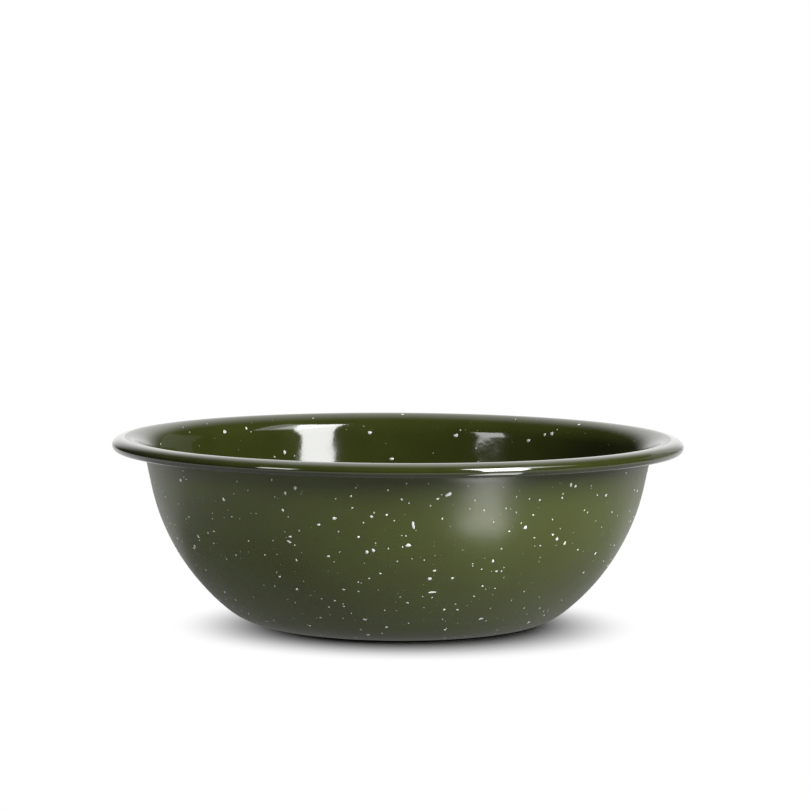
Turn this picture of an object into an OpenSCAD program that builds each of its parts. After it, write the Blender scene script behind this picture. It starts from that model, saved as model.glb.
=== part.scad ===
// Enamelled steel bowl. A drawn steel shell ends in a hollow rolled bead. A dark ground coat covers
// each face of the steel, a green cover coat lies over that inside, outside and round the bead, and
// white flecks are fused onto the green. The bowl stands on the plane z = 0 with its axis on Z, and
// its front faces -Y. All lengths are in millimetres and all angles in degrees.

/* [Bowl] */
// Outer diameter over the rolled bead
rim_d = 155; // [145:1:170]
// Height from the table to the top of the lip
bowl_h = 50.8; // [47:0.2:56]
// Diameter of the flat base
base_d = 68; // [60:1:74]
// Radius of the rounding between the base and the belly, on the outer face
foot_r = 20; // [14:0.5:24]
// Lean of the straight upper wall from upright
wall_lean = 12; // [9:0.5:16]
// Length of the straight upper wall
wall_straight = 7.4; // [4:0.1:10]

/* [Rim] */
// Radius of the flare that carries the wall out to the crest, on its upper face
lip_r = 7; // [5.5:0.1:8]
// Radius of the rim's top from the crest out to the bead, on its upper face
roll_r = 4.2; // [3.6:0.1:6]
// Angle that the rim's top turns down through before the bead
roll_turn = 45; // [35:1:55]
// Outer diameter of the rolled bead
bead_d = 2.8; // [2.6:0.1:3.6]
// Gap between the curled edge and the steel of the rim's top above it
curl_gap = 0.3; // [0.2:0.05:0.8]

/* [Layers] */
// Thickness of the steel sheet
steel_t = 0.6; // [0.4:0.05:0.8]
// Thickness of each dark ground coat
ground_t = 0.12; // [0.06:0.02:0.2]
// Thickness of each green cover coat
cover_t = 0.18; // [0.1:0.02:0.3]

/* [Flecks] */
// Small flecks thrown at the inside
inside_throws = 300; // [20:10:400]
// Small flecks thrown at the outside
outside_throws = 320; // [20:10:400]
// Length of the smallest fleck
fleck_min = 0.3; // [0.2:0.05:0.5]
// Length of the largest thrown fleck
fleck_max = 0.9; // [0.6:0.05:1.2]
// Height of a fleck
fleck_h = 0.05; // [0.03:0.01:0.1]

/* [Hidden] */
$fn = 144;

// Thickness of the two coats on one face of the steel, and of the whole wall
coats_t = ground_t + cover_t;
wall_t = steel_t + 2 * coats_t;

// Each layer lies between two depths, measured into the wall from its outer face
cover_outside = [0, cover_t];
ground_outside = [cover_t, coats_t];
steel = [coats_t, coats_t + steel_t];
ground_inside = [coats_t + steel_t, wall_t - cover_t];
cover_inside = [wall_t - cover_t, wall_t];

// The section runs out along the base, up the foot, belly and straight wall, out over the lip to its crest,
// down the rim's top and round the bead. Its slope climbs from 0 on the base to wall_slope on the wall, falls
// to 0 at the crest and goes on falling as the roll tightens.
bead_r = bead_d / 2;
bead_offset = (roll_r - bead_r) * [sin(roll_turn), cos(roll_turn)];
crest_r = rim_d / 2 - bead_r - bead_offset.x;
wall_slope = 90 - wall_lean;
up_wall = [cos(wall_slope), sin(wall_slope)];
into_bowl = [-sin(wall_slope), cos(wall_slope)];
lip_centre = [crest_r, bowl_h - lip_r];
roll_centre = [crest_r, bowl_h - roll_r];
bead_centre = roll_centre + bead_offset;
wall_top = lip_centre + (lip_r - wall_t) * into_bowl;
belly_top = wall_top - wall_straight * up_wall;

// The flat base reaches to base_d, or on a wide low bowl to this much outside where the belly would land
foot_least = 1;
landing = belly_top.x - belly_top.y * sin(wall_slope) / (1 - cos(wall_slope));
base_r = max(base_d / 2, landing + foot_least);

// The foot's rounding, which stays within this share of the room that the wall's line leaves it
foot_share = 0.9;
foot_room = into_bowl * ([base_r, 0] - belly_top) / (1 - into_bowl.y);
foot_round = min(foot_r, foot_share * foot_room);
foot_centre = [base_r, foot_round];

// The belly is the one arc that leaves the foot smoothly and meets the straight wall smoothly
foot_to_belly_top = belly_top - foot_centre;
belly_r = (foot_round * foot_round - foot_to_belly_top * foot_to_belly_top)
          / (2 * (into_bowl * foot_to_belly_top + foot_round));
belly_centre = belly_top + belly_r * into_bowl;
foot_slope = atan2(foot_centre.x - belly_centre.x, belly_centre.y - foot_centre.y);

// The curl stops where its outer corner comes within curl_gap of the steel of the rim's top
curl_reach = roll_r - bead_r;
curl_limit = roll_r - wall_t + coats_t - curl_gap;
curl_left = acos((curl_limit * curl_limit - bead_r * bead_r - curl_reach * curl_reach)
                 / (2 * bead_r * curl_reach));
curl_sweep = roll_turn + 360 - curl_left;

// Arcs of the section: centre, radius of the outer face, first slope and last slope. A radius is negative
// where the section turns over, so that at any depth the radius is the one given here less the depth.
foot_arc = [foot_centre, foot_round, 0, foot_slope];
belly_arc = [belly_centre, belly_r, foot_slope, wall_slope];
lip_arc = [lip_centre, wall_t - lip_r, wall_slope, 0];
roll_arc = [roll_centre, wall_t - roll_r, 0, -roll_turn];
bead_arc = [bead_centre, wall_t - bead_r, -roll_turn, -curl_sweep];

// Farthest that a chord of the section may lie from its true arc
chord_sag = 0.01;

// Thrown flecks keep this far along the face from the flat base outside, and from the ends of the coats
base_margin = 4;
edge_margin = 1;
// Least clear distance between flecks
fleck_gap = 0.1;
// Gap under a fleck's middle, which keeps its corners off a hollow face
fleck_seat = 0.02;
// A fleck's outline has this many corners, each drawn in by up to this share of its reach
fleck_corners = 7;
fleck_ragged = 0.3;
// A thrown fleck's width is at least this share of its length
fleck_slim = 0.6;
// Most thrown flecks are small, because the draw for the length is raised to this power
fleck_skew = 3;
// Numbers at which the draws for each side begin, after those for the corners of a fleck
inside_draws = 10;
outside_draws = 30;

// The largest flecks, set one by one: azimuth from the front, climb along the face from the middle of the
// base in hundredths of the way to the lip's crest, length and width in steps of bold_step, and lean of the
// length from level
bold_step = 0.1;
bold_outside = [
    [-55, 74.5, 11, 7, 120], [-42, 86, 11, 7, 120], [-26, 84.5, 8, 8, 0],
    [-25.5, 76, 12, 7, -20], [-25, 89, 8, 7, 90], [-22.5, 90.5, 10, 9, 0], [-14, 83, 10, 9, 0],
    [-9.5, 51, 11, 8, -10], [-7, 74, 10, 9, 90], [-5.5, 74.5, 10, 8, 100], [2.5, 76, 15, 9, 15],
    [3.5, 81.5, 19, 7, 100], [8, 66, 10, 10, 0], [9, 61.5, 24, 6, 3], [9, 68.5, 10, 7, 0],
    [11, 89.5, 17, 9, 25], [26, 50.5, 12, 7, 15], [30, 80, 11, 9, 0], [40, 76, 11, 9, 80],
    [41, 90.5, 12, 7, 80], [42.5, 90, 9, 7, 90], [43, 74.5, 13, 7, 75]];
bold_inside = [
    [133, 96.5, 10, 8, 0], [139.5, 92.5, 13, 10, 0], [141.5, 92, 10, 9, 0], [146, 90, 12, 10, 0],
    [165.5, 90.5, 13, 11, 0], [179, 98, 11, 8, 0], [181.5, 83.5, 11, 9, 0], [187, 91, 11, 10, 0],
    [209.5, 86, 11, 9, 90], [219.5, 93.5, 9, 7, 90], [226.5, 93, 13, 10, 0]];

// Point of an arc at a depth and a slope
function arc_point(arc, depth, slope) = arc[0] + (arc[1] - depth) * [sin(slope), -cos(slope)];

// Length of an arc at a depth
function arc_length(arc, depth) = abs((arc[1] - depth) * (arc[3] - arc[2])) * PI / 180;

// Points along an arc at a depth, with its chords within chord_sag. The arc's own start is left out where
// first is 1, because the arc before it ends there.
function arc_line(arc, depth, first = 0) =
    let (widest = max(abs(arc[1]), abs(arc[1] - wall_t)),
         steps = ceil(abs(arc[3] - arc[2]) / (2 * acos(1 - chord_sag / widest))))
    [for (k = [first:steps]) arc_point(arc, depth, arc[2] + (arc[3] - arc[2]) * k / steps)];

// The face at a depth up to the crest, from the edge of the base and from the axis
function wall_line(depth) =
    concat(arc_line(foot_arc, depth), arc_line(belly_arc, depth, 1), arc_line(lip_arc, depth));
function bowl_line(depth) = concat([[0, depth]], wall_line(depth));

// The face at a depth from the crest round the bead, and from the axis over the crest and round the bead
function rim_line(depth, first = 0) =
    concat(arc_line(roll_arc, depth, first), arc_line(bead_arc, depth, 1));
function rolled_line(depth) = concat(bowl_line(depth), rim_line(depth, 1));

// A list from its end to its start
function backwards(list) = [for (k = [len(list) - 1:-1:0]) list[k]];

// The solid between two faces of the section, turned about the axis
module turned_layer(outer_face, inner_face) {
    rotate_extrude()
        polygon(concat(outer_face, backwards(inner_face)));
}

// A repeatable number from 0 to 1 for one fleck and one draw
function chance(i, draw) = let (v = 43758.5453 * sin(12.9898 * i + 78.233 * draw)) v - floor(v);

// Radius, height and slope at a run along an arc at a depth
function arc_place(arc, depth, run) =
    let (slope = arc[2] + (arc[3] - arc[2]) * run / arc_length(arc, depth), p = arc_point(arc, depth, slope))
    [p.x, p.y, slope];

// Radius, height and slope at a run up the straight wall at a depth
function wall_place(depth, run) =
    let (p = belly_top + depth * into_bowl + run * up_wall)
    [p.x, p.y, wall_slope];

// Radius, height and slope of the face at a depth, at a climb along it from the middle of the base
function face_place(depth, climb) =
    let (foot = climb - base_r,
         belly = foot - arc_length(foot_arc, depth),
         wall = belly - arc_length(belly_arc, depth),
         lip = wall - wall_straight)
    foot < 0 ? [climb, depth, 0]
    : belly < 0 ? arc_place(foot_arc, depth, foot)
    : wall < 0 ? arc_place(belly_arc, depth, belly)
    : lip < 0 ? wall_place(depth, wall)
    : arc_place(lip_arc, depth, lip);

// Climb along the face at a depth to the crest
function crest_climb(depth) =
    base_r + arc_length(foot_arc, depth) + arc_length(belly_arc, depth) + wall_straight
    + arc_length(lip_arc, depth);

// A large fleck with its climb and its size as lengths
function bold_fleck(f, depth) =
    [f[0], f[1] / 100 * crest_climb(depth), bold_step * f[2], bold_step * f[3], f[4]];

// A thrown fleck at a climb between low and high
function thrown_fleck(i, draws, low, high) =
    let (size = fleck_min + (fleck_max - fleck_min) * pow(chance(i, draws + 2), fleck_skew),
         width = size * (fleck_slim + (1 - fleck_slim) * chance(i, draws + 3)),
         climb = low + (high - low) * chance(i, draws + 1))
    [360 * chance(i, draws), climb, size, width, 180 * chance(i, draws + 4)];

// Middle of a fleck
function fleck_middle(f, depth) =
    let (p = face_place(depth, f[1]))
    [p[0] * sin(f[0]), -p[0] * cos(f[0]), p[1]];

// Clear distance from a fleck to the nearest one of a list
function fleck_room(f, others, depth) =
    let (middle = fleck_middle(f, depth))
    min([for (o = others) norm(middle - fleck_middle(o, depth)) - (f[2] + o[2]) / 2]);

// All the flecks on a face: the large ones, and the thrown ones that stick. Fewer stick near the axis, where
// the face has less area, and none sticks on another fleck.
function face_flecks(large, throws, draws, depth, low, high) =
    let (bold = [for (f = large) bold_fleck(f, depth)],
         all = [for (i = [1:throws]) thrown_fleck(i, draws, low, high)],
         landed = [for (i = [1:throws])
             if (crest_r * chance(i, draws + 5) < face_place(depth, all[i - 1][1])[0]) all[i - 1]])
    concat(bold, [for (i = [0:1:len(landed) - 1])
        let (earlier = concat(bold, [for (j = [0:1:i - 1]) landed[j]]))
        if (fleck_room(landed[i], earlier, depth) > fleck_gap) landed[i]]);

// A thin ragged flake on the face at a depth; tilt is 0 on the inner face and 180 on the outer one
module fleck(f, number, depth, tilt) {
    place = face_place(depth, f[1]);
    outline = [for (k = [0:fleck_corners - 1])
        let (turn = 360 * k / fleck_corners, reach = 1 - fleck_ragged * chance(number, k))
        reach / 2 * [f[3] * cos(turn), f[2] * sin(turn)]];
    rotate([0, 0, f[0] - 90])
        translate([place[0], 0, place[1]])
            rotate([0, tilt - place[2], 0])
                rotate([0, 0, f[4]])
                    translate([0, 0, fleck_seat])
                        linear_extrude(height = fleck_h)
                            polygon(outline);
}

module steel_shell() {
    color("slategray")
        turned_layer(rolled_line(steel[0]), rolled_line(steel[1]));
}

module ground_coat_inside() {
    color([0.09, 0.09, 0.1])
        turned_layer(rolled_line(ground_inside[0]), rolled_line(ground_inside[1]));
}

module ground_coat_outside() {
    color([0.11, 0.11, 0.12])
        turned_layer(bowl_line(ground_outside[0]), bowl_line(ground_outside[1]));
}

module green_enamel_inside() {
    color([0.22, 0.25, 0.1])
        turned_layer(bowl_line(cover_inside[0]), bowl_line(cover_inside[1]));
}

module green_enamel_outside() {
    color([0.26, 0.29, 0.16])
        turned_layer(wall_line(cover_outside[0]), wall_line(cover_outside[1]));
}

module green_enamel_base() {
    color([0.24, 0.27, 0.15])
        cylinder(r = base_r, h = cover_t);
}

module green_enamel_rim() {
    color([0.24, 0.27, 0.13])
        turned_layer(rim_line(cover_inside[0]), rim_line(cover_inside[1]));
}

module white_flecks_inside() {
    depth = wall_t;
    high = crest_climb(depth) - edge_margin;
    flecks = face_flecks(bold_inside, inside_throws, inside_draws, depth, 0, high);
    color("white")
        for (i = [0:len(flecks) - 1])
            fleck(flecks[i], i, depth, 0);
}

module white_flecks_outside() {
    depth = 0;
    low = base_r + base_margin;
    high = crest_climb(depth) - edge_margin;
    flecks = face_flecks(bold_outside, outside_throws, outside_draws, depth, low, high);
    color("white")
        for (i = [0:len(flecks) - 1])
            fleck(flecks[i], i, depth, 180);
}

steel_shell();
ground_coat_inside();
ground_coat_outside();
green_enamel_inside();
green_enamel_outside();
green_enamel_base();
green_enamel_rim();
white_flecks_inside();
white_flecks_outside();
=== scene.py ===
import math

import bpy
import numpy as np
from mathutils import Euler, Matrix, Quaternion, Vector


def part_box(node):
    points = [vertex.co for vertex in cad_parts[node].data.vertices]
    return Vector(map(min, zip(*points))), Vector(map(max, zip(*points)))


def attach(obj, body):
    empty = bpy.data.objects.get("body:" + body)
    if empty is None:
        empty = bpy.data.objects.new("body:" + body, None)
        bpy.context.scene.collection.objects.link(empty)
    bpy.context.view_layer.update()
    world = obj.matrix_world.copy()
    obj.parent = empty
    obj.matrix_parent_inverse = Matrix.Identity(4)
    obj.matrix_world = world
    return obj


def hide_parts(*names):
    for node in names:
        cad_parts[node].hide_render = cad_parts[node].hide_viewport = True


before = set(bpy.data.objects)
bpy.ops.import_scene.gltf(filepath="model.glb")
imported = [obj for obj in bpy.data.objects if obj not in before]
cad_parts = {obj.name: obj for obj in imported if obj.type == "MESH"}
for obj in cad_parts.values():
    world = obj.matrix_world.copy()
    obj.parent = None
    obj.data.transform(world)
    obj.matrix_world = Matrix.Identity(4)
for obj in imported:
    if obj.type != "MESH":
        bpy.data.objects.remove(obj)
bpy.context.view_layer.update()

MM = 0.001

# Sizes that the frame gives
rim_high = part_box("green_enamel_rim")[1]
base_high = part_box("green_enamel_base")[1]
RIM_R = rim_high.x
BOWL_H = rim_high.z
BASE_R = base_high.x
COVER_T = base_high.z

# Sizes of the bowl's section, as in the solids
FOOT_R = 20 * MM
WALL_LEAN = math.radians(12)
WALL_STRAIGHT = 7.4 * MM
LIP_R = 7 * MM
ROLL_R = 4.2 * MM
ROLL_TURN = math.radians(45)
BEAD_R = 1.4 * MM
CURL_GAP = 0.3 * MM
STEEL_T = 0.6 * MM
GROUND_T = 0.12 * MM
COATS_T = GROUND_T + COVER_T
WALL_T = STEEL_T + 2 * COATS_T

# How finely the coats are drawn
TURNS = 360
SHOWN_STEP = 0.6 * MM
HIDDEN_STEP = 2.5 * MM
BEAD_STEP = 0.15 * MM
HIDDEN_BEAD_STEP = 0.6 * MM
SHARP_ANGLE = math.radians(50)

# The enamel's slow waves: how many go round the bowl, their length up the wall, height and start
WAVES = [
    (19, 31 * MM, 0.012 * MM, 0.4),
    (37, -17 * MM, 0.009 * MM, 2.1),
    (58, 9 * MM, 0.005 * MM, 4.4),
]
WAVE_FADE = 12 * MM
AXIS_FADE = 45 * MM

# White flecks
FLECK_CORNERS = 12
FLECK_H = 0.06 * MM
FLECK_SEAT = 0.05 * MM
FLECK_SPREAD = 1.12
SHOULDER_H = 0.6
SHOULDER_IN = 0.82
FLECK_GAP = 0.1 * MM
FLECK_MIN = 0.3 * MM
FLECK_MAX = 0.9 * MM
FLECK_SLIM = 0.6
FLECK_SKEW = 3
BOLD_STEP = 0.1 * MM
EDGE_MARGIN = 1 * MM
BASE_MARGIN = 4 * MM
INSIDE_THROWS = 300
OUTSIDE_THROWS = 320
INSIDE_DRAWS = 10
OUTSIDE_DRAWS = 30
SPECK_MIN = 0.12 * MM
SPECK_MAX = 0.55 * MM
SPECK_SKEW = 2.2
INSIDE_SPECKS = 900
OUTSIDE_SPECKS = 2300
INSIDE_SPECK_DRAWS = 50
OUTSIDE_SPECK_DRAWS = 70
FLAKE_MIN = 0.55 * MM
FLAKE_MAX = 1.0 * MM
FLAKE_SKEW = 1
OUTSIDE_FLAKES = 80
FLAKE_DRAWS = 90
FLECK_SHRINK = 0.12
TWO_WAVES = 0.11
THREE_WAVES = 0.10
FLECK_RISE = 0.3

# How white the flecks are, set for this studio's light: inside they are darker than the record's colour, as
# painted shade of the inside
INSIDE_SHADED_WHITE = 0.35
OUTSIDE_WHITE = 0.92

# The scatter's formula, as in the solids
CHANCE_GAIN = 43758.5453
CHANCE_NUMBER = 12.9898
CHANCE_DRAW = 78.233

# The boldest flecks of the photograph's side: azimuth, climb in percent, length, width and lean.
# Lengths and widths are in bold steps. Sizes and leans were read by eye from the photograph, and the
# azimuths and climbs were worked out by a script from the flecks' pixels.
BOLD_OUTSIDE = [
    (-55, 74.5, 11, 7, 120), (-42, 86, 11, 7, 120), (-26, 84.5, 8, 8, 0), (-25.5, 76, 12, 7, -20),
    (-25, 89, 8, 7, 90), (-22.5, 90.5, 10, 9, 0), (-14, 83, 10, 9, 0), (-9.5, 51, 11, 8, -10),
    (-7, 74, 10, 9, 90), (-5.5, 74.5, 10, 8, 100), (2.5, 76, 15, 9, 15), (3.5, 81.5, 19, 7, 100),
    (8, 66, 10, 10, 0), (9, 61.5, 24, 6, 3), (9, 68.5, 10, 7, 0), (11, 89.5, 17, 9, 25),
    (26, 50.5, 12, 7, 15), (30, 80, 11, 9, 0), (40, 76, 11, 9, 80), (41, 90.5, 12, 7, 80),
    (42.5, 90, 9, 7, 90), (43, 74.5, 13, 7, 75),
]
BOLD_INSIDE = [
    (133, 96.5, 10, 8, 0), (139.5, 92.5, 13, 10, 0), (141.5, 92, 10, 9, 0), (146, 90, 12, 10, 0),
    (165.5, 90.5, 13, 11, 0), (179, 98, 11, 8, 0), (181.5, 83.5, 11, 9, 0), (187, 91, 11, 10, 0),
    (209.5, 86, 11, 9, 90), (219.5, 93.5, 9, 7, 90), (226.5, 93, 13, 10, 0),
]

# The camera, fitted to the outline in the photograph
IMAGE_PX = 810
FOCAL_PX = 3507.4
SENSOR_MM = 36
CAMERA_PLACE = Vector((0, -0.950, 0.1389))
CAMERA_PITCH = 0.08362
CAMERA_YAW = 0.00196
CAMERA_ROLL = 0.00603


# The section, in radius and height, turns about the axis. A slope is the angle of the face above level.
curl_reach = ROLL_R - BEAD_R
bead_offset = curl_reach * np.array([math.sin(ROLL_TURN), math.cos(ROLL_TURN)])
crest_r = RIM_R - BEAD_R - bead_offset[0]
wall_slope = math.pi / 2 - WALL_LEAN
up_wall = np.array([math.cos(wall_slope), math.sin(wall_slope)])
into_bowl = np.array([-math.sin(wall_slope), math.cos(wall_slope)])
lip_centre = np.array([crest_r, BOWL_H - LIP_R])
roll_centre = np.array([crest_r, BOWL_H - ROLL_R])
bead_centre = roll_centre + bead_offset
wall_top = lip_centre + (LIP_R - WALL_T) * into_bowl
belly_top = wall_top - WALL_STRAIGHT * up_wall
foot_centre = np.array([BASE_R, FOOT_R])
foot_to_belly = belly_top - foot_centre
belly_r = (FOOT_R**2 - foot_to_belly @ foot_to_belly) / (2 * (into_bowl @ foot_to_belly + FOOT_R))
belly_centre = belly_top + belly_r * into_bowl
foot_slope = math.atan2(foot_centre[0] - belly_centre[0], belly_centre[1] - foot_centre[1])
curl_limit = ROLL_R - WALL_T + COATS_T - CURL_GAP
curl_left = math.acos((curl_limit**2 - BEAD_R**2 - curl_reach**2) / (2 * BEAD_R * curl_reach))
curl_sweep = ROLL_TURN + 2 * math.pi - curl_left


def evenly(start, end, length, step):
    """Numbers from start to end, as many as lie about one step apart over a length."""
    return np.linspace(start, end, max(2, math.ceil(length / step) + 1))


def arc(centre, radius, start, end, depth, step):
    """An arc of the section and its slopes: centre + (radius - depth) (sin slope, -cos slope)."""
    reach = radius - depth
    slopes = evenly(start, end, abs(reach * (end - start)), step)
    spokes = np.stack([np.sin(slopes), -np.cos(slopes)], axis=1)
    return centre + reach * spokes, slopes


def straight(start, end, slope, step):
    """A straight stretch of the section between two points, and its slopes."""
    share = evenly(0, 1, np.linalg.norm(end - start), step)[:, None]
    return start + share * (end - start), np.full(len(share), slope)


def joined(stretches):
    """Stretches of the section in one line, where each begins at the last point of the one before."""
    points = np.concatenate([stretches[0][0][:1]] + [stretch[0][1:] for stretch in stretches])
    slopes = np.concatenate([stretches[0][1][:1]] + [stretch[1][1:] for stretch in stretches])
    return points, slopes


def face(depth, step):
    """The face at a depth below the outer one, from the axis to the lip's crest, and its slopes.

    A flat base, the foot's arc, the belly's arc, a straight wall and the lip's arc, each tangent to
    the next.
    """
    foot = arc(foot_centre, FOOT_R, 0, foot_slope, depth, step)
    belly = arc(belly_centre, belly_r, foot_slope, wall_slope, depth, step)
    lip = arc(lip_centre, WALL_T - LIP_R, wall_slope, 0, depth, step)
    base = straight(np.array([0, depth]), foot[0][0], 0, step)
    wall = straight(belly[0][-1], lip[0][0], wall_slope, step)
    return joined([base, foot, belly, wall, lip])


def rolled(depth, step):
    """The rim's face at a depth, from the crest out: a wide arc, and the tight arc of the bead after it."""
    roll = arc(roll_centre, WALL_T - ROLL_R, 0, -ROLL_TURN, depth, step)
    bead = arc(bead_centre, WALL_T - BEAD_R, -ROLL_TURN, -curl_sweep, depth, step)
    return joined([roll, bead])


def climbs(points):
    """The way along a line of points from its first to each of them."""
    steps = np.linalg.norm(np.diff(points, axis=0), axis=1)
    return np.concatenate([[0], np.cumsum(steps)])


def ripple(azimuth, climb, end):
    """Height of the enamel's waves: sines of azimuth and climb, faded out at the axis and at the end."""
    height = 0
    for count, length, tall, start in WAVES:
        height = height + tall * np.sin(count * azimuth + 2 * math.pi * climb / length + start)
    fade = np.clip(climb / AXIS_FADE, 0, 1) ** 2 * np.clip((end - climb) / WAVE_FADE, 0, 1)
    return height * fade


def around(radius, azimuth, height):
    """Points at a radius, azimuth and height. Azimuth 0 is the front, and it grows towards +X."""
    return np.stack([radius * np.sin(azimuth), -radius * np.cos(azimuth), height], axis=-1)


def coat_points(shown, hidden, side):
    """Rings of a coat's closed section: the waved shown face, and the plain hidden face under it.

    A shown point moves by the ripple along its normal, side (sin slope, -cos slope). Rings run so that
    the coat lies on their left, which makes the faces point outwards.
    """
    azimuths = np.arange(TURNS) * 2 * math.pi / TURNS
    points, slopes = shown
    climb = climbs(points)
    wave = ripple(azimuths[None, :], climb[:, None], climb[-1])
    shown_r = points[:, :1] + side * np.sin(slopes)[:, None] * wave
    shown_z = points[:, 1:] - side * np.cos(slopes)[:, None] * wave
    front = around(shown_r, azimuths[None, :], shown_z)
    back_r = np.repeat(hidden[0][:, :1], TURNS, axis=1)
    back_z = np.repeat(hidden[0][:, 1:], TURNS, axis=1)
    back = around(back_r, azimuths[None, :], back_z)
    if side > 0:
        return np.concatenate([front, back[::-1]])
    return np.concatenate([back, front[::-1]])


def ring_faces(rings, closed):
    """Four corner numbers for each face between neighbouring rings of TURNS points."""
    ring = np.arange(rings if closed else rings - 1)[:, None]
    turn = np.arange(TURNS)[None, :]
    next_ring = (ring + 1) % rings
    next_turn = (turn + 1) % TURNS
    corners = np.broadcast_arrays(
        ring * TURNS + turn,
        ring * TURNS + next_turn,
        next_ring * TURNS + next_turn,
        next_ring * TURNS + turn,
    )
    return np.stack(corners, axis=-1).reshape(-1, 4)


def new_piece(name, points, faces, slot, *nodes):
    """A smooth mesh piece that rides on the bowl and stands for CAD nodes, which it hides. The slot is not
    used.
    """
    mesh = bpy.data.meshes.new(name)
    mesh.from_pydata(points.tolist(), [], faces)
    mesh.polygons.foreach_set("use_smooth", np.ones(len(mesh.polygons), bool))
    mesh.set_sharp_from_angle(angle=SHARP_ANGLE)
    piece = bpy.data.objects.new(name, mesh)
    bpy.context.scene.collection.objects.link(piece)
    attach(piece, "root")
    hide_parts(*nodes)
    return piece


def bowl_coat(name, shown, hidden, side, slot, *nodes):
    """A coat from the axis to the lip: rings between two poles, one on each face."""
    rings = coat_points(shown, hidden, side)
    poles = rings[[0, -1], 0]
    rings = rings[1:-1]
    first_pole = len(rings) * TURNS
    last_ring = (len(rings) - 1) * TURNS
    turn = np.arange(TURNS)
    next_turn = (turn + 1) % TURNS
    first_fan = np.stack([np.full(TURNS, first_pole), next_turn, turn], axis=1)
    last_fan = np.stack([last_ring + turn, last_ring + next_turn, np.full(TURNS, first_pole + 1)], axis=1)
    faces = ring_faces(len(rings), False).tolist() + first_fan.tolist() + last_fan.tolist()
    points = np.concatenate([rings.reshape(-1, 3), poles])
    return new_piece(name, points, faces, slot, *nodes)


def rim_coat(name, shown, hidden, slot, *nodes):
    """The coat round the rolled rim: rings of a closed section, a shown line over a hidden one."""
    rings = coat_points(shown, hidden, -1)
    return new_piece(name, rings.reshape(-1, 3), ring_faces(len(rings), True).tolist(), slot, *nodes)


def chance(number, draw):
    """Scatter from 0 to 1: the fraction of a gain times the sine of the scaled number and draw."""
    value = CHANCE_GAIN * np.sin(np.radians(CHANCE_NUMBER * number + CHANCE_DRAW * draw))
    return value - np.floor(value)


def thrown(shown, throws, draws, low, high, least, most, skew):
    """Flecks thrown evenly on a face: azimuth, climb, length, width and lean of those that land.

    A throw lands more often where the face is further from the axis, so that each area gets its share.
    """
    number = np.arange(1, throws + 1)
    climb = low + (high - low) * chance(number, draws + 1)
    length = least + (most - least) * chance(number, draws + 2) ** skew
    width = length * (FLECK_SLIM + (1 - FLECK_SLIM) * chance(number, draws + 3))
    radius = np.interp(climb, climbs(shown[0]), shown[0][:, 0])
    landed = crest_r * chance(number, draws + 5) < radius
    flecks = np.stack(
        [2 * math.pi * chance(number, draws), climb, length, width, math.pi * chance(number, draws + 4)]
    )
    return flecks[:, landed]


def bold(listed, crest_climb):
    """The listed flecks in the same form as the thrown ones."""
    azimuth, percent, length, width, lean = np.array(listed, float).T
    return np.stack(
        [
            np.radians(azimuth),
            percent / 100 * crest_climb,
            length * BOLD_STEP,
            width * BOLD_STEP,
            np.radians(lean),
        ]
    )


def apart(shown, flecks, fixed):
    """The flecks that lie clear of every earlier one in the list. The first ones, up to fixed, all stay."""
    spots = fleck_middles(shown, flecks)
    reach = flecks[2] / 2
    distance = np.linalg.norm(spots[:, None] - spots[None, :], axis=2)
    free = distance - reach[:, None] - reach[None, :] > FLECK_GAP
    earlier = np.tri(len(reach), k=-1, dtype=bool)
    keep = (free | ~earlier).all(axis=1)
    keep[:fixed] = True
    return flecks[:, keep]


def fleck_middles(shown, flecks):
    """Where flecks sit on a face: its point at their climb, turned to their azimuth."""
    points = shown[0]
    climb = climbs(points)
    radius = np.interp(flecks[1], climb, points[:, 0])
    height = np.interp(flecks[1], climb, points[:, 1])
    return around(radius, flecks[0], height)


def fleck_points(shown, side, flecks):
    """Points of low ragged domes: a sunk ring, a shoulder ring, a top and a bottom for each fleck.

    A ring's outline is an ellipse with two and three waves of its own, a little wider than the flake,
    because its glass spreads as it melts. It lies in the face's tangent plane, which goes round the bowl
    one way and up the face the other way.
    """
    points, slopes = shown
    climb = climbs(points)
    azimuth, place, length, width, lean = flecks
    slope = np.interp(place, climb, slopes)
    number = np.arange(1, len(azimuth) + 1)[:, None]
    round_way = np.stack([np.cos(azimuth), np.sin(azimuth), 0 * azimuth], axis=1)
    up_way = around(np.cos(slope), azimuth, np.sin(slope))
    normal = side * around(np.sin(slope), azimuth, -np.cos(slope))
    turn = side * lean[:, None]
    long_way = np.cos(turn) * round_way + np.sin(turn) * up_way
    wide_way = np.cos(turn) * up_way - np.sin(turn) * round_way
    angle = np.arange(FLECK_CORNERS)[None, :] * 2 * math.pi / FLECK_CORNERS
    ragged = 1 - FLECK_SHRINK * chance(number, 1)
    ragged = ragged + TWO_WAVES * np.sin(2 * angle + 2 * math.pi * chance(number, 2))
    ragged = ragged + THREE_WAVES * np.sin(3 * angle + 2 * math.pi * chance(number, 3))
    reach = FLECK_SPREAD / 2 * ragged
    along = (length[:, None] * reach * np.cos(angle))[:, :, None]
    across = (width[:, None] * reach * np.sin(angle))[:, :, None]
    outline = along * long_way[:, None] + across * wide_way[:, None]
    lift = ripple(azimuth, place, climb[-1])[:, None]
    middle = fleck_middles(shown, flecks) + lift * normal
    tall = np.minimum(FLECK_H, FLECK_RISE * width)[:, None] * normal
    sunk = middle - FLECK_SEAT * normal
    sunk_ring = sunk[:, None] + outline
    shoulder_ring = (middle + SHOULDER_H * tall)[:, None] + SHOULDER_IN * outline
    return np.concatenate([sunk_ring, shoulder_ring, sunk[:, None], (middle + tall)[:, None]], axis=1)


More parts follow.
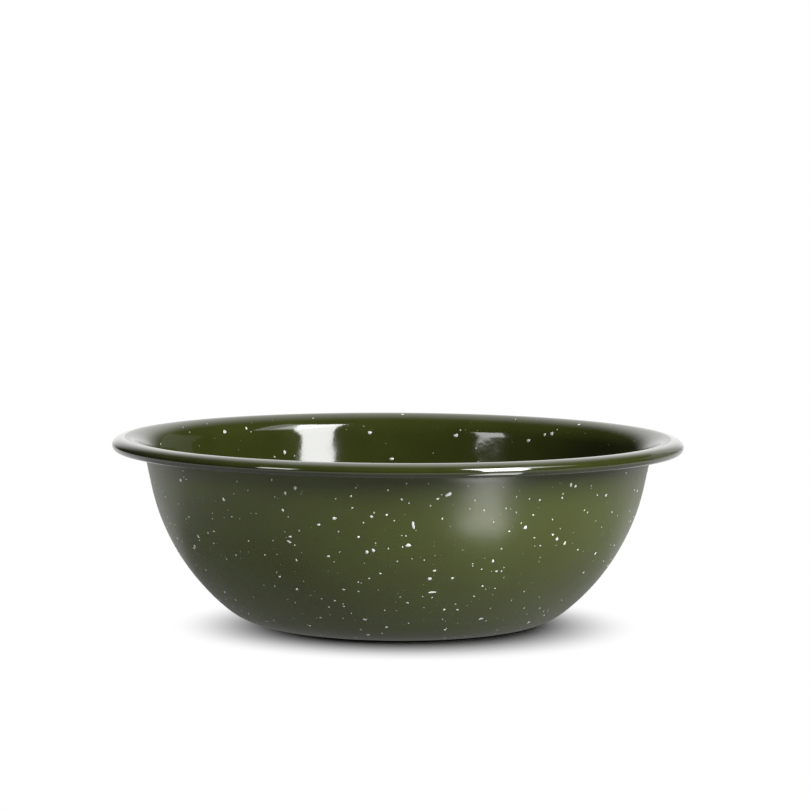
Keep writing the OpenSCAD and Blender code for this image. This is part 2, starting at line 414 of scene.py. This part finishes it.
def fleck_faces(count, side):
    """Faces of the domes: a fan below, a band of four-cornered faces and a fan on top."""
    corner = np.arange(FLECK_CORNERS)
    next_corner = (corner + 1) % FLECK_CORNERS
    bottom = np.full(FLECK_CORNERS, 2 * FLECK_CORNERS)
    below = np.stack([bottom, next_corner, corner], axis=1)
    band = np.stack([corner, next_corner, FLECK_CORNERS + next_corner, FLECK_CORNERS + corner], axis=1)
    above = np.stack([bottom + 1, FLECK_CORNERS + corner, FLECK_CORNERS + next_corner], axis=1)
    first = np.arange(count)[:, None, None] * (2 * FLECK_CORNERS + 2)
    faces = [(first + part).reshape(-1, part.shape[1]) for part in (below, band, above)]
    if side < 0:
        faces = [part[:, ::-1] for part in faces]
    return [corners for part in faces for corners in part.tolist()]


def fleck_piece(name, shown, side, flecks, *nodes):
    """White flecks on a face. Their tone, which their size sets, dims the small ones that lie deeper."""
    points = fleck_points(shown, side, flecks)
    faces = fleck_faces(flecks.shape[1], side)
    piece = new_piece(name, points.reshape(-1, 3), faces, "white_fleck", *nodes)
    tone = np.clip((flecks[2] - SPECK_MIN) / (FLECK_MAX - SPECK_MIN), 0, 1)
    layer = piece.data.attributes.new("tone", "FLOAT", "POINT")
    layer.data.foreach_set("value", np.repeat(tone, points.shape[1]))
    return piece


class Value:
    """A number, colour or vector of a material's nodes. Arithmetic on it adds Math nodes."""

    def __init__(self, tree, socket=None):
        self.tree = tree
        self.socket = socket

    def node(self, kind, settings=None, inputs=None, output=0):
        """Adds a node: its settings, then a value or a link for each named input. Gives one output."""
        made = self.tree.nodes.new(kind)
        for name, setting in (settings or {}).items():
            setattr(made, name, setting)
        sockets = {socket.identifier: socket for socket in made.inputs}
        for name, value in (inputs or {}).items():
            if isinstance(value, Value):
                self.tree.links.new(value.socket, sockets[name])
            else:
                sockets[name].default_value = value
        outputs = {socket.identifier: socket for socket in made.outputs}
        outputs.update(enumerate(made.outputs))
        return Value(self.tree, outputs.get(output))

    def math(self, operation, first, second=0.0):
        return self.node("ShaderNodeMath", {"operation": operation}, {"Value": first, "Value_001": second})

    def __add__(self, other):
        return self.math("ADD", self, other)

    def __sub__(self, other):
        return self.math("SUBTRACT", self, other)

    def __rsub__(self, other):
        return self.math("SUBTRACT", other, self)

    def __mul__(self, other):
        return self.math("MULTIPLY", self, other)

    __radd__ = __add__
    __rmul__ = __mul__

    def ramp(self, low, high, to_low=0.0, to_high=1.0):
        """A smooth step: to_low where this value is at low, to_high where it is at high."""
        limits = {"Value": self, "From Min": low, "From Max": high, "To Min": to_low, "To Max": to_high}
        return self.node("ShaderNodeMapRange", {"interpolation_type": "SMOOTHSTEP"}, limits)

    def blend(self, first, second):
        """A colour from first to second as this value goes from 0 to 1."""
        mixed = {"Factor_Float": self, "A_Color": first, "B_Color": second}
        return self.node("ShaderNodeMix", {"data_type": "RGBA"}, mixed, "Result_Color")


def colour(red, green, blue):
    return (red, green, blue, 1.0)


def grey(tone):
    return colour(tone, tone, tone)


def noise(place, scale, detail=3.0, rough=0.5):
    """Cloudy noise from 0 to 1 with a number of lumps to the metre."""
    inputs = {"Vector": place, "Scale": scale, "Detail": detail, "Roughness": rough}
    return place.node("ShaderNodeTexNoise", {"noise_dimensions": "3D"}, inputs)


def bump(height, distance):
    """Normals of a surface that rises by a distance as height goes from 0 to 1."""
    inputs = {"Height": height, "Distance": distance, "Strength": 1.0}
    return height.node("ShaderNodeBump", None, inputs)


CLOUD_LOW = 0.3
CLOUD_HIGH = 0.7
CLOUD_DETAIL = 4


def clouded(place, scale, dark, light):
    """A colour that drifts between two in soft clouds, with a number of clouds to the metre."""
    return noise(place, scale, CLOUD_DETAIL).ramp(CLOUD_LOW, CLOUD_HIGH).blend(dark, light)


def new_material(name):
    """An empty material, its first value to add nodes from, and its object coordinates."""
    material = bpy.data.materials.new(name)
    material.use_nodes = True
    material.node_tree.nodes.clear()
    start = Value(material.node_tree)
    return material, start, start.node("ShaderNodeTexCoord", output="Object")


def surface(start, inputs):
    """A principled surface on the material's output."""
    shader = start.node("ShaderNodeBsdfPrincipled", None, inputs)
    start.node("ShaderNodeOutputMaterial", None, {"Surface": shader})


def put_on(material, *pieces):
    """Gives pieces a material in place of what they had."""
    for piece in pieces:
        piece.data.materials.clear()
        piece.data.materials.append(material)


def green_gloss():
    """Glossy green cover coat: cloudy colour, faint dimpled skin, and a roughness that wanders a little.

    The colour is darker than the record's: painted shade, for the shade that the inside has and this
    studio's light does not give it.
    """
    material, start, place = new_material("green_gloss")
    # Both colours are darker than the record's: painted shade of the inside.
    dark = colour(0.0153, 0.0188, 0.0033)
    light = colour(0.0184, 0.0225, 0.0040)
    skin = noise(place, 420, 2)
    surface(start, {
        "Base Color": clouded(place, 90, dark, light),
        "Roughness": 0.05 + 0.06 * noise(place, 260, 3),
        "IOR": 1.55,
        "Normal": bump(skin, 0.012 * MM),
    })
    return material


def green_satin():
    """Satin green cover coat: a fine dry grain over cloudy colour."""
    material, start, place = new_material("green_satin")
    dark = colour(0.058, 0.070, 0.0132)
    light = colour(0.062, 0.077, 0.0145)
    grain = noise(place, 2600, 3, 0.6)
    surface(start, {
        "Base Color": clouded(place, 70, dark, light),
        "Roughness": 0.26 + 0.10 * noise(place, 900, 3),
        "Specular IOR Level": 0.6,
        "Normal": bump(grain, 0.006 * MM),
    })
    return material


def green_rim():
    """Glossy green coat of the bead, whose colour drifts a little in small soft clouds.

    The colour is set for this studio's light, and is darker than the record's.
    """
    material, start, place = new_material("green_rim")
    dark = colour(0.0175, 0.0212, 0.0043)
    light = colour(0.0212, 0.0256, 0.0053)
    surface(start, {
        "Base Color": clouded(place, 160, dark, light),
        "Roughness": 0.06 + 0.06 * noise(place, 400, 3),
        "IOR": 1.55,
        "Coat Weight": 0.8,
        "Coat Roughness": 0.05,
        "Normal": bump(noise(place, 600, 2), 0.006 * MM),
    })
    return material


def white_fleck(name, white):
    """White glass flecks: the small ones lie deeper, so some green shows through them."""
    material, start, place = new_material(name)
    tone = start.node("ShaderNodeAttribute", {"attribute_name": "tone"}, output="Fac")
    deep = colour(0.06, 0.07, 0.03)
    full = colour(0.98 * white, white, 0.97 * white)
    bright = tone.ramp(0.15, 0.55, 0.12, 1.0) * noise(place, 1500, 2).ramp(0.25, 0.6, 0.85, 1.0)
    surface(start, {
        "Base Color": bright.blend(deep, full),
        "Roughness": 0.16 + 0.16 * noise(place, 2400, 2),
        "Normal": bump(noise(place, 3000, 2), 0.01 * MM),
    })
    return material


def ground_coat():
    """Dark first coat: near black glass with a bluish cast and fine bubbles."""
    material, start, place = new_material("ground_coat")
    bubbles = start.node(
        "ShaderNodeTexVoronoi", {"feature": "F1"}, {"Vector": place, "Scale": 2200.0}, "Distance"
    )
    surface(start, {
        "Base Color": noise(place, 300).blend(colour(0.006, 0.006, 0.008), colour(0.012, 0.013, 0.017)),
        "Roughness": 0.22 + 0.15 * noise(place, 900),
        "Normal": bump(bubbles, 0.01 * MM),
    })
    return material


def sheet_steel():
    """Bare pressed sheet: grey steel with drawn streaks up the wall and patches of furnace scale."""
    material, start, place = new_material("sheet_steel")
    stretched = place.node("ShaderNodeMapping", None, {"Vector": place, "Scale": (1, 1, 0.08)})
    streaks = noise(stretched, 1800, 3)
    scale = noise(place, 240, 4).ramp(0.45, 0.65)
    surface(start, {
        "Base Color": scale.blend(colour(0.33, 0.34, 0.35), colour(0.12, 0.115, 0.11)),
        "Metallic": 1 - 0.5 * scale,
        "Roughness": 0.32 + 0.2 * streaks,
        "Normal": bump(streaks, 0.01 * MM),
    })
    return material


def seen(start):
    """1 for a camera ray and else 0, and 1 for a ray that a mirror or glass sends on and else 0."""
    path = "ShaderNodeLightPath"
    glossy = start.node(path, output="Is Glossy Ray")
    through = start.node(path, output="Is Transmission Ray")
    return start.node(path, output="Is Camera Ray"), start.math("MINIMUM", glossy + through, 1.0)


def pale_floor():
    """Matt pale floor. The camera sees it as plain white, with a painted shadow round the bowl: the white
    fades out towards a point a little off the axis, and there a darker matt tone shows, in which the real
    shadow still falls.

    To light and mirrors it glows: bright close under the bowl, a painted glow that lights the bowl from
    below, and bright far out in front and all over behind it.
    """
    material, start, place = new_material("pale_floor")
    ends = {"Vector": place, "Vector_001": PAINTED_SHADOW_PLACE}
    reach = start.node("ShaderNodeVectorMath", {"operation": "DISTANCE"}, ends, "Value")
    camera, mirror = seen(start)
    # The camera sees a darker matt tone than light does: painted shadow.
    tone = camera.blend(grey(FLOOR_TONE), grey(PAINTED_SHADOW_TONE))
    matt = start.node("ShaderNodeBsdfDiffuse", None, {"Color": tone})
    white = start.node("ShaderNodeEmission", None, {"Color": grey(1.0), "Strength": 1.0})
    back = start.node("ShaderNodeSeparateXYZ", None, {"Vector": place}, "Y")
    behind = back.ramp(0.0, MIRROR_BACK, 0.0, MIRROR_MOST)
    far = reach.ramp(MIRROR_NEAR, MIRROR_FAR, MIRROR_LEAST, MIRROR_MOST)
    # A painted glow of the floor under the bowl, seen by every ray but the camera's, which lights the bowl
    # from below.
    glow_pad = reach.ramp(GLOW_PAD_R, GLOW_PAD_END, GLOW_PAD_SHARE, 0.0)
    # The camera's white fades out round the bowl's foot: a painted shadow over the real one.
    plain = reach.ramp(PAINTED_SHADOW_R, WHITE_R) * camera
    mirrored = start.math("MAXIMUM", behind, far) * mirror
    share = plain + glow_pad * (1 - camera) + mirrored
    both = start.node("ShaderNodeMixShader", None, {"Fac": share, "Shader": matt, "Shader_001": white})
    start.node("ShaderNodeOutputMaterial", None, {"Surface": both})
    return material


def studio_world():
    """White to the camera. Mirrors see a white sweep behind the bowl, in a dim and even room."""
    world = bpy.data.worlds.new("studio")
    world.use_nodes = True
    world.node_tree.nodes.clear()
    start = Value(world.node_tree)
    direction = start.node("ShaderNodeTexCoord", output="Generated")
    aside = start.node("ShaderNodeSeparateXYZ", None, {"Vector": direction}, "X")
    back = start.node("ShaderNodeSeparateXYZ", None, {"Vector": direction}, "Y")
    narrow = start.math("ABSOLUTE", aside).ramp(SWEEP_SIDE, SWEEP_EDGE, 1.0, 0.0)
    sweep = narrow * back.ramp(0.0, SWEEP_BACK)
    camera, mirror = seen(start)
    strength = camera + (1 - camera) * (ROOM_LIGHT + mirror * sweep)
    background = start.node("ShaderNodeBackground", None, {"Color": grey(1.0), "Strength": strength})
    start.node("ShaderNodeOutputWorld", None, {"Surface": background})
    bpy.context.scene.world = world


def softbox(name, place, turned, width, height, radiance):
    """A soft lamp at a place, which shines down its own Z axis when it isn't turned."""
    lamp = bpy.data.lights.new(name, "AREA")
    lamp.shape = "RECTANGLE"
    lamp.size = width
    lamp.size_y = height
    lamp.energy = radiance * math.pi * width * height
    holder = bpy.data.objects.new(name, lamp)
    holder.location = place
    holder.rotation_euler = turned.to_euler()
    holder.visible_camera = False
    bpy.context.scene.collection.objects.link(holder)
    return holder


def aimed_softbox(name, azimuth, elevation, roll, width, height, radiance):
    """A soft lamp with its face to the bowl. Azimuth 0 is the camera's side, and it grows towards +X."""
    turn = math.radians(azimuth)
    rise = math.radians(elevation)
    way = Vector((math.sin(turn) * math.cos(rise), -math.cos(turn) * math.cos(rise), math.sin(rise)))
    turned = way.to_track_quat("Z", "Y") @ Quaternion((0, 0, 1), math.radians(roll))
    return softbox(name, Vector((0, 0, BOWL_H / 2)) + LAMP_DISTANCE * way, turned, width, height, radiance)


def low_card():
    """A bright card that lies on the floor in front of the bowl, and shows only in its gloss."""
    turned = Euler((math.pi, 0, math.radians(CARD_AZIMUTH))).to_quaternion()
    card = softbox("low_card", CARD_PLACE, turned, CARD_WIDTH, CARD_LENGTH, CARD_RADIANCE)
    card.visible_diffuse = False


# The studio
FLOOR_HALF = 3.0
FLOOR_DROP = 0.05 * MM
FLOOR_TONE = 0.14
# The painted shadow round the bowl: its darker camera tone, its centre, and the radius where the camera's
# white begins.
PAINTED_SHADOW_TONE = 0.11
PAINTED_SHADOW_PLACE = Vector((2.4 * MM, -7 * MM, 0))
PAINTED_SHADOW_R = 32 * MM
WHITE_R = 64 * MM
# The floor's painted glow under the bowl: where it begins to fade, where it ends, and how strong it is.
GLOW_PAD_R = 40 * MM
GLOW_PAD_END = 90 * MM
GLOW_PAD_SHARE = 0.15
MIRROR_BACK = 60 * MM
MIRROR_NEAR = 120 * MM
MIRROR_FAR = 260 * MM
MIRROR_LEAST = 0.1
MIRROR_MOST = 0.53
SWEEP_SIDE = 0.1
SWEEP_EDGE = 0.55
SWEEP_BACK = 0.6
ROOM_LIGHT = 0.02
LAMP_DISTANCE = 1.0

# Lamps: name, azimuth, elevation and roll in degrees, width and height in metres, and radiance
SOFTBOXES = [
    ("key_right", 47.5, 39.6, -15, 0.31, 1.05, 17.5),
    ("upper_right", 74, 54, 0, 0.43, 0.40, 2.2),
    ("upper_near", 66, 55.5, 0, 0.28, 0.30, 4.0),
    ("side_right", 136, 14, 0, 0.60, 0.50, 0.22),
    ("fill_left", -49.5, 27, 0, 0.24, 0.26, 7.5),
]

# Each softbox has a twin for a share of its light. No gloss mirrors the twins or the matt softboxes.
MATT_SHARE = 0.6
MATT_SOFTBOXES = [
    ("back", 190, 38, 0, 0.7, 0.7, 8.0),
    ("low_left", -50, 4, 0, 0.7, 0.14, 4.2),
]
CARD_PLACE = Vector((0.0726, -0.1149, 0.001))
CARD_AZIMUTH = 44
CARD_WIDTH = 0.030
CARD_LENGTH = 0.075
CARD_RADIANCE = 5.5

# The pieces
inside_shown = face(WALL_T, SHOWN_STEP)
inside_hidden = face(WALL_T - COVER_T, HIDDEN_STEP)
outside_shown = face(0, SHOWN_STEP)
outside_hidden = face(COVER_T, HIDDEN_STEP)
rim_shown = rolled(WALL_T, BEAD_STEP)
rim_hidden = rolled(WALL_T - COVER_T, HIDDEN_BEAD_STEP)
crest_climb = climbs(inside_shown[0])[-1]
outside_end = climbs(outside_shown[0])[-1]

inside = bowl_coat("enamel_inside", inside_shown, inside_hidden, -1, "green_gloss", "green_enamel_inside")
outside = bowl_coat(
    "enamel_outside", outside_shown, outside_hidden, 1, "green_satin",
    "green_enamel_outside", "green_enamel_base",
)
rim = rim_coat("enamel_rim", rim_shown, rim_hidden, "green_rim", "green_enamel_rim")

inside_bold = bold(BOLD_INSIDE, crest_climb)
inside_high = crest_climb - EDGE_MARGIN
inside_thrown = thrown(
    inside_shown, INSIDE_THROWS, INSIDE_DRAWS, 0, inside_high, FLECK_MIN, FLECK_MAX, FLECK_SKEW
)
inside_specks = thrown(
    inside_shown, INSIDE_SPECKS, INSIDE_SPECK_DRAWS, 0, inside_high, SPECK_MIN, SPECK_MAX, SPECK_SKEW
)
inside_all = np.concatenate([inside_bold, inside_thrown, inside_specks], axis=1)
inside_all = apart(inside_shown, inside_all, inside_bold.shape[1])
flecks_inside = fleck_piece("flecks_inside", inside_shown, -1, inside_all, "white_flecks_inside")

outside_bold = bold(BOLD_OUTSIDE, outside_end)
outside_low = BASE_R + BASE_MARGIN
outside_high = outside_end - EDGE_MARGIN
outside_thrown = thrown(
    outside_shown, OUTSIDE_THROWS, OUTSIDE_DRAWS, outside_low, outside_high,
    FLECK_MIN, FLECK_MAX, FLECK_SKEW,
)
outside_specks = thrown(
    outside_shown, OUTSIDE_SPECKS, OUTSIDE_SPECK_DRAWS, outside_low, outside_high,
    SPECK_MIN, SPECK_MAX, SPECK_SKEW,
)
outside_flakes = thrown(
    outside_shown, OUTSIDE_FLAKES, FLAKE_DRAWS, outside_low, outside_high,
    FLAKE_MIN, FLAKE_MAX, FLAKE_SKEW,
)
outside_all = np.concatenate([outside_bold, outside_thrown, outside_flakes, outside_specks], axis=1)
outside_all = apart(outside_shown, outside_all, outside_bold.shape[1])
flecks_outside = fleck_piece("flecks_outside", outside_shown, 1, outside_all, "white_flecks_outside")

# The finishes
put_on(green_gloss(), inside)
put_on(green_satin(), outside)
put_on(green_rim(), rim)
# The inside flecks' lower white is painted shade.
put_on(white_fleck("white_fleck_inside", INSIDE_SHADED_WHITE), flecks_inside)
put_on(white_fleck("white_fleck_outside", OUTSIDE_WHITE), flecks_outside)
put_on(ground_coat(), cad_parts["ground_coat_inside"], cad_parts["ground_coat_outside"])
put_on(sheet_steel(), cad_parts["steel_shell"])

# The floor, the light and the camera
floor_corners = FLOOR_HALF * np.array([(-1, -1, 0), (1, -1, 0), (1, 1, 0), (-1, 1, 0)])
floor_corners[:, 2] = -FLOOR_DROP
floor_mesh = bpy.data.meshes.new("floor")
floor_mesh.from_pydata(floor_corners.tolist(), [], [(0, 1, 2, 3)])
floor = bpy.data.objects.new("floor", floor_mesh)
bpy.context.scene.collection.objects.link(floor)
put_on(pale_floor(), floor)

studio_world()
for name, *aim, radiance in SOFTBOXES:
    aimed_softbox(name, *aim, radiance)
    aimed_softbox(name + "_matt", *aim, MATT_SHARE * radiance).visible_glossy = False
for box in MATT_SOFTBOXES:
    aimed_softbox(*box).visible_glossy = False
low_card()

lens = bpy.data.cameras.new("camera")
lens.sensor_width = SENSOR_MM
lens.lens = SENSOR_MM * FOCAL_PX / IMAGE_PX
camera = bpy.data.objects.new("camera", lens)
bpy.context.scene.collection.objects.link(camera)
camera.matrix_world = (
    Matrix.Translation(CAMERA_PLACE)
    @ Matrix.Rotation(-CAMERA_YAW, 4, "Z")
    @ Matrix.Rotation(math.pi / 2 - CAMERA_PITCH, 4, "X")
    @ Matrix.Rotation(CAMERA_ROLL, 4, "Z")
)
bpy.context.scene.camera = camera
bpy.context.scene.view_settings.view_transform = "Standard"
